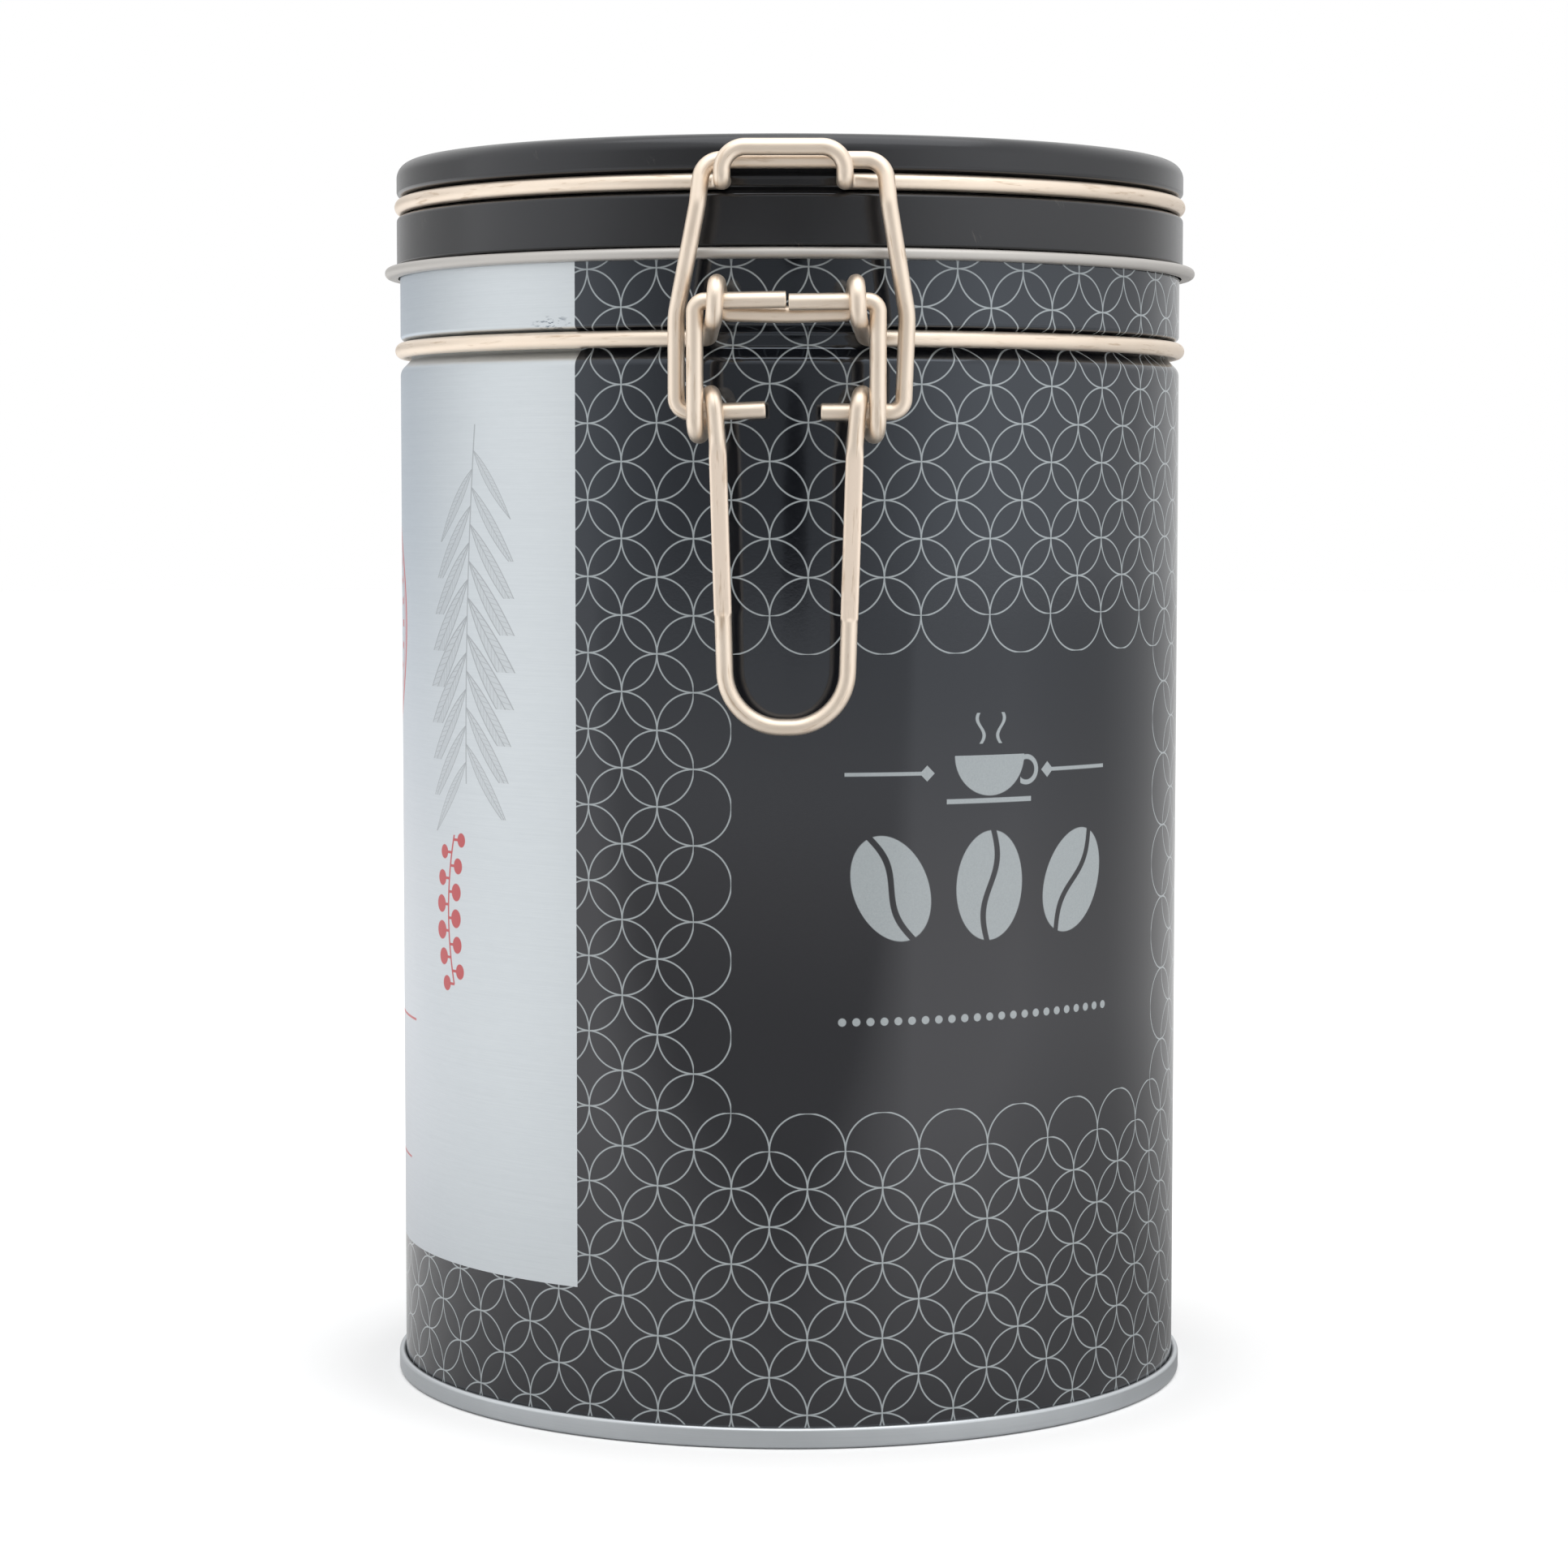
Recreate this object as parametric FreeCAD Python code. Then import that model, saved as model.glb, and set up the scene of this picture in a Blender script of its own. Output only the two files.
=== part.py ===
# Clip-top coffee tin: printed tinplate can, press-down lid with a silicone
# gasket, and a wire latch and wire hinge. Millimetres, +Z up. The origin is on
# the can's axis at the plane it stands on; the latch faces -Y, the hinge +Y.
# "u" below is the distance outboard of the axis at the front (u = -y).
import FreeCAD, Part
import math
import os

V = FreeCAD.Vector
os.makedirs("parts", exist_ok=True)

# ------------------------------------------------------------------ sizes
R = 47.5             # outside radius of the printed can wall
T = 0.26             # tinplate thickness
HT = T / 2
WIRE = 0.95          # radius of the nickelled spring wire
FIT = 0.08           # radial clearance of a pivot wire in a wire eye
EYE = 2 * WIRE + FIT  # mean radius of an eye or coil

# heights
Z_SEAM = 2.40        # top of the base seam
Z_BODY_GROOVE = 124.9
Z_CURL_LO = 133.60
Z_CURL_HI = 134.85
Z_NECK = 144.50      # sealing edge of the neck
Z_SKIRT = 135.02     # bottom edge of the closed lid
Z_LID_GROOVE = 142.20
Z_TOP = 147.50

# radial stations
R_RING = R - 0.30    # both wire rings' centre line in their grooves
R_GROOVE = R - 1.48  # groove floor, sheet centre line
R_CURL = R + 1.84    # outside of the rolled collar seam
R_NECK = R - 2.43    # neck wall, sheet centre line
R_SKIRT = R + 0.38   # outside of the lid skirt
R_SEAM = R + 0.83    # outside of the base seam

# latch pivots (u, z)
U_P, Z_P = R + 5.45, 128.70      # lever pivot in the ring's front eyes
U_B = U_P - 2.08                 # bail pivot in the lever's coils
Z_B = 116.65
U_BAR, Z_BAR = R + 2.12, 144.30  # bail bar, latched behind the hook
U_HOOK, Z_HOOK = R + 4.81, 145.50
HOOK_DROP = 0.43                 # the hook's legs are pulled down at their outer end
XH_L, XH_R = 7.10, 6.40           # hook's legs, left and right of the latch's centre
X_C = 10.05                      # lever side legs
X_EYE = 7.65                     # centre of the ring's front eyes
# rear hinge (y, z)
Y_H, Z_H = R + 5.45, 130.00


# ------------------------------------------------------------------ helpers
def rounded(points, radii):
    """Lines and tangent arcs along a polyline; radii are for inner corners."""
    pts = [V(*p) for p in points]
    edges = []
    start = pts[0]
    for i in range(1, len(pts) - 1):
        a, b, c = pts[i - 1], pts[i], pts[i + 1]
        d1 = (b - a).normalize()
        d2 = (c - b).normalize()
        turn = math.acos(max(-1.0, min(1.0, d1.dot(d2))))
        r = radii[i - 1]
        if turn < 1e-4 or r <= 0:
            if (b - start).Length > 1e-6:
                edges.append(Part.makeLine(start, b))
            start = b
            continue
        t = r * math.tan(turn / 2)
        p1, p2 = b - d1 * t, b + d2 * t
        bis = (d2 - d1).normalize()
        centre = b + bis * (r / math.cos(turn / 2))
        mid = centre - bis * r
        if (p1 - start).Length > 1e-6:
            edges.append(Part.makeLine(start, p1))
        edges.append(Part.Arc(p1, mid, p2).toShape())
        start = p2
    if (pts[-1] - start).Length > 1e-6:
        edges.append(Part.makeLine(start, pts[-1]))
    return edges


def sheet(points, radii, t=T, axis_start=False):
    """Turned sheet-metal shell: a (r, z) centre line thickened by t and spun."""
    n = len(points)
    segs = []
    start = points[0]
    left, right = [], []

    def off(p, d, s):
        return (p[0] - d[1] * s, p[1] + d[0] * s)

    def unit(a, b):
        l = math.hypot(b[0] - a[0], b[1] - a[1])
        return ((b[0] - a[0]) / l, (b[1] - a[1]) / l)

    for side, out in ((1, left), (-1, right)):
        start = points[0]
        for i in range(1, n):
            a, b = points[i - 1], points[i]
            d1 = unit(a, b)
            if i < n - 1:
                d2 = unit(b, points[i + 1])
                cross = d1[0] * d2[1] - d1[1] * d2[0]
                dot = max(-1.0, min(1.0, d1[0] * d2[0] + d1[1] * d2[1]))
                turn = math.acos(dot)
                r = radii[i - 1]
                tl = r * math.tan(turn / 2)
                p1 = (b[0] - d1[0] * tl, b[1] - d1[1] * tl)
                p2 = (b[0] + d2[0] * tl, b[1] + d2[1] * tl)
                s = 1 if cross > 0 else -1
                c = (p1[0] - d1[1] * r * s, p1[1] + d1[0] * r * s)
                out.append(("l", off(start, d1, side * t / 2), off(p1, d1, side * t / 2)))
                rr = r - s * side * t / 2
                m = (b[0] - c[0], b[1] - c[1])
                ml = math.hypot(*m)
                mid = (c[0] + m[0] / ml * rr, c[1] + m[1] / ml * rr)
                out.append(("a", off(p1, d1, side * t / 2), mid, off(p2, d2, side * t / 2)))
                start = p2
            else:
                out.append(("l", off(start, d1, side * t / 2), off(b, d1, side * t / 2)))
    edges = []

    def add(seg, rev=False):
        pts = [V(p[0], 0, p[1]) for p in seg[1:]]
        if rev:
            pts = pts[::-1]
        if (pts[0] - pts[-1]).Length < 1e-7:
            return
        if seg[0] == "l":
            edges.append(Part.makeLine(pts[0], pts[-1]))
        else:
            edges.append(Part.Arc(*pts).toShape())

    for s in left:
        add(s)
    edges.append(Part.makeLine(V(left[-1][-1][0], 0, left[-1][-1][1]),
                               V(right[-1][-1][0], 0, right[-1][-1][1])))
    for s in reversed(right):
        add(s, True)
    edges.append(Part.makeLine(V(right[0][1][0], 0, right[0][1][1]),
                               V(left[0][1][0], 0, left[0][1][1])))
    face = Part.Face(Part.Wire(Part.__sortEdges__(edges)))
    return spin(face)


def spin(face):
    s = face.revolve(V(0, 0, 0), V(0, 0, 1), 360)
    if s.ShapeType != "Solid":
        s = s.Solids[0]
    return s


def spun_polygon(points):
    pts = [V(r, 0, z) for r, z in points]
    return spin(Part.Face(Part.makePolygon(pts + [pts[0]])))


def tube(edges, radius=WIRE):
    """Round wire swept along lines and tangent arcs."""
    path = Part.Wire(edges)
    e0 = edges[0]
    p0 = e0.valueAt(e0.FirstParameter)
    d0 = e0.tangentAt(e0.FirstParameter)
    disc = Part.Face(Part.Wire(Part.makeCircle(radius, p0, d0)))
    s = path.makePipe(disc)
    if s.ShapeType != "Solid":
        s = s.Solids[0]
    if s.Volume < 0:
        s.reverse()
    return s


def mirror_x(points):
    return [(-x, y, z) for x, y, z in points][::-1]


def ring_entry(x, z, sign_y, d=1.7):
    """Where a wire turns off the ring circle: arc end, then the corner at x."""
    a = math.asin((abs(x) + d) / R_RING)
    for _ in range(40):
        f = R_RING * math.sin(a) - d * math.cos(a) - abs(x)
        a -= f / (R_RING * math.cos(a) + d * math.sin(a))
    e = (R_RING * math.sin(a), sign_y * R_RING * math.cos(a), z)
    c = (abs(x), sign_y * (R_RING * math.cos(a) + d * math.sin(a)), z)
    return e, c


def half_ring(p_front, p_back, z, sign_x):
    """Arc of the ring circle from a front point to a back point."""
    mid = V(sign_x * R_RING, 0, z)
    return Part.Arc(V(*p_front), mid, V(*p_back)).toShape()


def flip(p):
    return (-p[0], p[1], p[2])


# ------------------------------------------------------------------ can
# body: hook of the base seam, wall, ring groove, flange inside the collar seam
rb = R - HT
body_shell = sheet(
    [(R + 0.42, 1.85), (R + 0.42, 0.62), (rb, 0.62), (rb, 122.40),
     (R_GROOVE, 123.80), (R_GROOVE, 125.70), (rb, 126.40),
     (rb, 134.20), (R + 1.22, 134.20)],
    [0.274, 0.274, 1.3, 1.05, 0.80, 0.45, 0.30])

# base end: recessed panel, chuck wall, double seam round the body's hook
base_end = sheet(
    [(0.0, 3.70), (29.0, 3.70), (30.3, 3.05), (37.0, 3.05), (38.3, 2.45),
     (R - 0.41, 2.45), (R - 0.41, HT), (R + 0.70, HT), (R + 0.70, Z_SEAM - HT),
     (R + 0.14, Z_SEAM - HT), (R + 0.14, 0.95)],
    [1.2, 1.2, 1.2, 1.2, 0.7, 0.35, 0.35, 0.279, 0.279])

# collar: outer roll closed on the body flange, shelf, neck and its hem
neck_collar = sheet(
    [(R + 0.26, Z_CURL_LO + HT), (R_CURL - HT, Z_CURL_LO + HT),
     (R_CURL - HT, Z_CURL_HI - HT), (R_NECK, Z_CURL_HI - HT),
     (R_NECK, Z_NECK - HT), (R_NECK - 0.90, Z_NECK - HT),
     (R_NECK - 0.90, Z_NECK - 1.35)],
    [0.48, 0.48, 0.60, 0.44, 0.44])

# sealing compound: a ribbon under the body's hook, and one over its flange
base_seam_sealant = spun_polygon([(R - 0.05, 0.28), (R + 0.34, 0.28), (R + 0.34, 0.47), (R - 0.05, 0.47)])
collar_seam_sealant = spun_polygon([(R + 0.30, 134.35), (R + 1.20, 134.35),
                                    (R + 1.20, 134.57), (R + 0.30, 134.57)])

# ------------------------------------------------------------------ lid
rs = R_SKIRT - HT
lid_shell = sheet(
    [(0.0, 146.62), (R - 8.6, 146.62), (R - 7.6, Z_TOP - HT), (rs, Z_TOP - HT),
     (rs, Z_LID_GROOVE + 1.50), (R_GROOVE, Z_LID_GROOVE + 0.80),
     (R_GROOVE, Z_LID_GROOVE - 0.80), (rs, Z_LID_GROOVE - 1.50),
     (rs, Z_SKIRT + HT), (rs - 0.44, Z_SKIRT + HT), (rs - 0.44, Z_SKIRT + 1.5)],
    [1.0, 1.0, 1.75, 0.45, 0.80, 0.80, 0.45, 0.218, 0.218])

# gasket: flat silicone ring in the rim's channel, over the neck's edge
g_out = rs - HT - 0.05
g_in = R - 4.71
lid_gasket = spun_polygon([
    (g_in, 145.15), (g_in + 0.55, Z_NECK + 0.05), (g_out, Z_NECK + 0.05),
    (g_out, 145.60), (R - 1.45, Z_TOP - T - 0.02), (g_in, Z_TOP - T - 0.02)])

# lid ring: hook over the front, ring in the lid's groove, two rear eyes
e_hl, c_hl = (flip(p) for p in ring_entry(XH_L, Z_LID_GROOVE, -1))
e_hr, c_hr = ring_entry(XH_R, Z_LID_GROOVE, -1)
X_LEG = 8.75
e_leg, c_leg = ring_entry(X_LEG, Z_LID_GROOVE, 1)
z_leg = Z_LID_GROOVE - HOOK_DROP
hook_path = rounded(
    [e_hl, c_hl, (-XH_L, -U_HOOK, z_leg), (-XH_L, -U_HOOK, Z_HOOK),
     (XH_R, -U_HOOK, Z_HOOK), (XH_R, -U_HOOK, z_leg), c_hr, e_hr],
    [1.4, 1.05, 2.55, 2.55, 1.05, 1.4])
eye_in = Y_H - EYE
eye_out = Y_H + EYE
rear_eye = [e_leg, c_leg, (X_LEG, eye_in, Z_LID_GROOVE), (X_LEG, eye_in, Z_H - EYE),
            (7.95, eye_out, Z_H - EYE), (7.30, eye_out, Z_H + EYE),
            (6.62, eye_in, Z_H + EYE), (6.45, eye_in, Z_H - 0.6)]
r_eye = [1.4, 1.3, 1.9, 1.9, 1.9, 1.9]
left_eye = rounded([flip(p) for p in rear_eye][::-1], r_eye[::-1])
right_eye = rounded(rear_eye, r_eye)
lid_ring_path = (
    left_eye
    + [half_ring(flip(e_leg), e_hl, Z_LID_GROOVE, -1)]
    + hook_path
    + [half_ring(e_hr, e_leg, Z_LID_GROOVE, 1)]
    + right_eye)
lid_ring_wire = tube(lid_ring_path)

# ------------------------------------------------------------------ body ring
X_IN = 8.70
e_eye, c_eye = ring_entry(X_IN, Z_BODY_GROOVE, -1)
X_POST = 11.70
e_post, c_post = ring_entry(X_POST, Z_BODY_GROOVE, 1)
# one front eye, from the groove round the pivot to the rear tie
front = [e_eye, c_eye, (8.30, -(R + 3.10), 125.90), (7.86, -(U_P + EYE), Z_P - EYE),
         (7.70, -(U_P + EYE), Z_P + EYE), (7.50, -(U_P - EYE), Z_P + EYE),
         (7.28, -(U_P - EYE), 127.50)]
r_front = [1.4, 2.0, 1.75, 1.85, 1.85]
tie = 1.20
mid_dip = 127.30
path_front = rounded(
    [flip(p) for p in front[:1]] + [flip(p) for p in front[1:]]
    + [(0.0, -(U_P - EYE) , mid_dip)] + front[::-1],
    r_front + [tie, 40.0, tie] + r_front[::-1])
post = [e_post, c_post, (X_POST, Y_H, Z_BODY_GROOVE), (X_POST, Y_H, Z_H), (0.06, Y_H, Z_H)]
r_post = [1.4, 1.6, 1.5]
body_ring_path = (
    rounded([flip(p) for p in post][::-1], r_post[::-1])
    + [half_ring(flip(e_post), flip(e_eye), Z_BODY_GROOVE, -1)]
    + path_front
    + [half_ring(e_eye, e_post, Z_BODY_GROOVE, 1)]
    + rounded(post, r_post))
body_ring_wire = tube(body_ring_path)

# ------------------------------------------------------------------ lever
C_UP, C_LOW, C_IN = 2 * WIRE + 0.07, 2.55, 2.10  # coil round the stub: over, under, behind
X_E_TOP, X_E_BOT = 7.55, 6.60
Z_BEND = 81.9 + 6.6   # centre of the handle's bend
U_TIP = R + 4.40      # handle's lower end


def u_at(z):
    return U_P + (U_TIP - U_P) * (113.5 - z) / (113.5 - 81.9)


lever_half = [
    (0.06, -U_P, Z_P), (X_C, -U_P, Z_P), (X_C, -U_P, Z_B - C_LOW),
    (9.30, -(U_B - C_IN), Z_B - C_LOW), (8.70, -(U_B - C_IN), Z_B + C_UP),
    (8.02, -U_P, Z_B + C_UP), (X_E_TOP, -U_P, 113.2), (X_E_BOT, -u_at(Z_BEND - 6.6), Z_BEND - 6.6)]
r_half = [1.2, 1.9, 1.9, 1.85, 1.85, 8.0]
lever_pts = [flip(p) for p in lever_half] + lever_half[::-1]
lever_path = rounded(lever_pts, r_half + [6.30, 6.30] + r_half[::-1])
lever_wire = tube(lever_path)
# pressed flats on the two handle legs
for s in (-1, 1):
    top, low = 112.2, 93.8
    xa = X_E_TOP + (X_E_BOT - X_E_TOP) * (113.2 - top) / (113.2 - 81.9)
    xb = X_E_TOP + (X_E_BOT - X_E_TOP) * (113.2 - low) / (113.2 - 81.9)
    a = V(s * xa, -u_at(top), top)
    b = V(s * xb, -u_at(low), low)
    d = (b - a)
    L = d.Length
    d.normalize()
    side = V(1, 0, 0) - d * d.x
    side.normalize()
    nrm = d.cross(side)
    nrm.normalize()
    w, h = 1.14, 0.74
    # thin the leg front and back
    for sg in (-1, 1):
        pts = [a + side * -2 + nrm * (sg * h), a + side * 2 + nrm * (sg * h),
               a + side * 2 + nrm * (sg * 2), a + side * -2 + nrm * (sg * 2)]
        lead = 0.8
        prof = Part.Face(Part.makePolygon(
            [a + nrm * (sg * h) - side * 2, b + nrm * (sg * h) - side * 2,
             b + d * lead + nrm * (sg * 1.6) - side * 2, a - d * lead + nrm * (sg * 1.6) - side * 2,
             a + nrm * (sg * h) - side * 2]))
        lever_wire = lever_wire.cut(prof.extrude(side * 4))
    # spread of the pressed metal
    e = 0.35
    cs = [(-w, -h + e), (-w + e, -h), (w - e, -h), (w, -h + e), (w, h - e), (w - e, h), (-w + e, h), (-w, h - e)]
    poly = [a + side * p + nrm * q for p, q in cs]
    bar = Part.Face(Part.makePolygon(poly + [poly[0]])).extrude(d * L)
    lever_wire = lever_wire.fuse(bar)
lever_wire = lever_wire.removeSplitter()
if lever_wire.ShapeType != "Solid":
    lever_wire = max(lever_wire.Solids, key=lambda s: s.Volume)

# ------------------------------------------------------------------ bail
# the loop leans a little to the right, as the play in its coils lets it
X_L, X_R = -12.16, 13.28         # side wires at the lever's pivot height
bail_pts = [
    (-2.3, -U_B, Z_B), (X_L + 0.02, -U_B, Z_B), (X_L, -(R + 3.30), 127.2),
    (-9.80, -(R + 3.30), 139.4), (-9.25, -U_BAR, Z_BAR), (10.75, -U_BAR, Z_BAR),
    (11.25, -(R + 3.30), 139.4), (X_R, -(R + 3.30), 127.2), (X_R - 0.40, -U_B, Z_B),
    (3.8, -U_B, Z_B)]
bail_path = rounded(bail_pts, [1.5, 9.0, 3.0, 2.3, 2.3, 3.0, 9.0, 1.5])
bail_wire = tube(bail_path)

# ------------------------------------------------------------------ export
nodes = {
    "body_shell": body_shell,
    "base_end": base_end,
    "base_seam_sealant": base_seam_sealant,
    "neck_collar": neck_collar,
    "collar_seam_sealant": collar_seam_sealant,
    "body_ring_wire": body_ring_wire,
    "lid_shell": lid_shell,
    "lid_gasket": lid_gasket,
    "lid_ring_wire": lid_ring_wire,
    "lever_wire": lever_wire,
    "bail_wire": bail_wire,
}
for name, shape in nodes.items():
    shape.exportStep("parts/%s.step" % name)
    bb = shape.BoundBox
    print("%-20s valid %s solids %d vol %9.3f  x %.2f %.2f y %.2f %.2f z %.2f %.2f faces %d" % (
        name, shape.isValid(), len(shape.Solids), shape.Volume,
        bb.XMin, bb.XMax, bb.YMin, bb.YMax, bb.ZMin, bb.ZMax, len(shape.Faces)))
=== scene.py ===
import bpy
import math
import numpy as np
from mathutils import Matrix, Vector


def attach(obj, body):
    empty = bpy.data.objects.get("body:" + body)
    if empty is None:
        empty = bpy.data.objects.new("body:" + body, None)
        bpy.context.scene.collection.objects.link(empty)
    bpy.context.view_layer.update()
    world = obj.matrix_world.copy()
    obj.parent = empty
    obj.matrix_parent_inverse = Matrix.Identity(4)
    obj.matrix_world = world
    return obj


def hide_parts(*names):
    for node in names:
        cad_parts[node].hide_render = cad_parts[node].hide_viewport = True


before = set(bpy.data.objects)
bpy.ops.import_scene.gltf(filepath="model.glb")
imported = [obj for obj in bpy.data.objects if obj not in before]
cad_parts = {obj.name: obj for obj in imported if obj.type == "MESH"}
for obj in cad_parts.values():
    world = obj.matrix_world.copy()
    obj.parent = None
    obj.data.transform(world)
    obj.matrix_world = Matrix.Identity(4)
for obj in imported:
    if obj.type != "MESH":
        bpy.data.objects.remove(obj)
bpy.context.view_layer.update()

MM = 0.001

# ------------------------------------------------------------------ sizes, mm
R = 47.5             # outside radius of the printed wall
T = 0.26             # tinplate
HT = T / 2
WIRE = 0.95          # wire radius
EYE = 2 * WIRE + 0.08
Z_SEAM, Z_BODY_GROOVE, Z_CURL_LO, Z_CURL_HI = 2.40, 124.9, 133.60, 134.85
Z_NECK, Z_SKIRT, Z_LID_GROOVE, Z_TOP = 144.50, 135.02, 142.20, 147.50
R_RING, R_GROOVE, R_CURL = R - 0.30, R - 1.48, R + 1.84
R_NECK, R_SKIRT, R_SEAM = R - 2.43, R + 0.38, R + 0.83
U_P, Z_P = R + 5.45, 128.70
U_B, Z_B = R + 5.45 - 2.08, 116.65
U_BAR, Z_BAR = R + 2.12, 144.30
U_HOOK, Z_HOOK = R + 4.81, 145.50
HOOK_DROP, XH_L, XH_R = 0.43, 7.10, 6.40
X_C = 10.05
Y_H, Z_H = R + 5.45, 130.00
TURN = 0.4           # the print is set this many degrees round from the latch


# ------------------------------------------------------------------ meshes
def build(name, verts, quads, tris=(), mats=(), mat_index=None, sharp=34.0, attr=None):
    """A mesh object from arrays in millimetres, smooth shaded with sharp edges by angle."""
    me = bpy.data.meshes.new(name)
    verts = np.asarray(verts, float) * MM
    quads = np.asarray(quads, np.int32).reshape(-1, 4)
    tris = np.asarray(tris, np.int32).reshape(-1, 3)
    nq, nt = len(quads), len(tris)
    me.vertices.add(len(verts))
    me.vertices.foreach_set("co", verts.astype(np.float32).ravel())
    me.loops.add(nq * 4 + nt * 3)
    me.loops.foreach_set("vertex_index", np.concatenate([quads.ravel(), tris.ravel()]))
    me.polygons.add(nq + nt)
    start = np.concatenate([np.arange(nq) * 4, nq * 4 + np.arange(nt) * 3])
    me.polygons.foreach_set("loop_start", start.astype(np.int32))
    me.update(calc_edges=True)
    for m in mats:
        me.materials.append(m)
    if mat_index is not None:
        me.polygons.foreach_set("material_index", np.asarray(mat_index, np.int32))
    me.validate()
    me.shade_smooth()
    me.set_sharp_from_angle(angle=math.radians(sharp))
    if attr is not None:
        for key, values in attr.items():
            a = me.attributes.new(key, "FLOAT_VECTOR", "POINT")
            a.data.foreach_set("vector", np.asarray(values, np.float32).ravel())
    ob = bpy.data.objects.new(name, me)
    bpy.context.scene.collection.objects.link(ob)
    return ob


def arc2(p1, centre, p2, r, side, step=6.0):
    """Points of a 2D arc from p1 to p2 about centre."""
    a1 = math.atan2(p1[1] - centre[1], p1[0] - centre[0])
    a2 = math.atan2(p2[1] - centre[1], p2[0] - centre[0])
    while side > 0 and a2 < a1 - 1e-9:
        a2 += 2 * math.pi
    while side < 0 and a2 > a1 + 1e-9:
        a2 -= 2 * math.pi
    n = max(2, int(math.ceil(abs(a2 - a1) / math.radians(step))))
    return [(centre[0] + r * math.cos(a1 + (a2 - a1) * k / n),
             centre[1] + r * math.sin(a1 + (a2 - a1) * k / n)) for k in range(n + 1)]


def sheet_section(points, radii, t=T, long_step=2.0):
    """Closed outline of a bent sheet from its centre line: left side out, right side back.
    Returns the outline and, for each point, which side it's on (0 left, 1 right)."""
    def unit(a, b):
        l = math.hypot(b[0] - a[0], b[1] - a[1])
        return ((b[0] - a[0]) / l, (b[1] - a[1]) / l)

    sides = []
    for s in (1, -1):
        out = []
        for i in range(1, len(points)):
            a, b = points[i - 1], points[i]
            d1 = unit(a, b)
            o = (-d1[1] * s * t / 2, d1[0] * s * t / 2)
            if i == 1:
                out.append((a[0] + o[0], a[1] + o[1]))
            if i < len(points) - 1:
                d2 = unit(b, points[i + 1])
                cross = d1[0] * d2[1] - d1[1] * d2[0]
                dot = max(-1.0, min(1.0, d1[0] * d2[0] + d1[1] * d2[1]))
                turn = math.acos(dot)
                r = radii[i - 1]
                tl = r * math.tan(turn / 2)
                p1 = (b[0] - d1[0] * tl, b[1] - d1[1] * tl)
                p2 = (b[0] + d2[0] * tl, b[1] + d2[1] * tl)
                k = 1 if cross > 0 else -1
                c = (p1[0] - d1[1] * r * k, p1[1] + d1[0] * r * k)
                rr = max(r - k * s * t / 2, 0.004)
                q1 = (c[0] + (p1[0] - c[0]) / r * rr, c[1] + (p1[1] - c[1]) / r * rr)
                q2 = (c[0] + (p2[0] - c[0]) / r * rr, c[1] + (p2[1] - c[1]) / r * rr)
                out += arc2(q1, c, q2, rr, k)
            else:
                out.append((b[0] + o[0], b[1] + o[1]))
        # long straight runs get rows of their own
        full = [out[0]]
        for p in out[1:]:
            q = full[-1]
            l = math.hypot(p[0] - q[0], p[1] - q[1])
            if l < 1e-4:
                continue
            n = max(1, int(l / long_step))
            for j in range(1, n + 1):
                full.append((q[0] + (p[0] - q[0]) * j / n, q[1] + (p[1] - q[1]) * j / n))
        sides.append(full)
    left, right = sides
    outline = left + right[::-1]
    side = [0] * len(left) + [1] * len(right)
    return outline, side


def lathe(name, outline, side, mats, n=480, wave=None, closed_axis=False):
    """Spins a closed outline round the can's axis. side picks the material of each strip."""
    pts = np.array(outline, float)
    m = len(pts)
    area = 0.5 * np.sum(pts[:, 0] * np.roll(pts[:, 1], -1) - np.roll(pts[:, 0], -1) * pts[:, 1])
    ang = np.arange(n) * 2 * math.pi / n
    poles = [i for i in range(m) if pts[i, 0] < 1e-6]
    index = np.full((m, n), -1, np.int64)
    verts = []
    for i in range(m):
        r, z = pts[i]
        if i in poles:
            index[i, :] = len(verts)
            verts.append((0.0, 0.0, z))
            continue
        rr = np.full(n, r)
        if wave is not None:
            rr = rr + wave(ang, z, r)
        index[i, :] = len(verts) + np.arange(n)
        verts += list(zip(rr * np.sin(ang), -rr * np.cos(ang), np.full(n, z)))
    quads, tris, qi, ti = [], [], [], []
    for i in range(m):
        j = (i + 1) % m
        if i in poles and j in poles:
            continue
        a, b = index[i], index[j]
        a2, b2 = np.roll(a, -1), np.roll(b, -1)
        which = side[i] if side[i] == side[j] else max(side[i], side[j])
        if i in poles:
            f = np.stack([a, b, b2], 1)
            if area < 0:
                f = f[:, ::-1]
            tris.append(f)
            ti += [which] * n
        elif j in poles:
            f = np.stack([a, b, a2], 1)
            if area < 0:
                f = f[:, ::-1]
            tris.append(f)
            ti += [which] * n
        else:
            f = np.stack([a, b, b2, a2], 1)
            if area < 0:
                f = f[:, ::-1]
            quads.append(f)
            qi += [which] * n
    # the angle runs the other way round from x to y, so faces are turned over once
    quads = np.concatenate(quads)[:, ::-1]
    tris = np.concatenate(tris)[:, ::-1] if tris else np.zeros((0, 3), int)
    ob = build(name, verts, quads, tris, mats, qi + ti)
    fix_normals(ob)
    return ob


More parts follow.
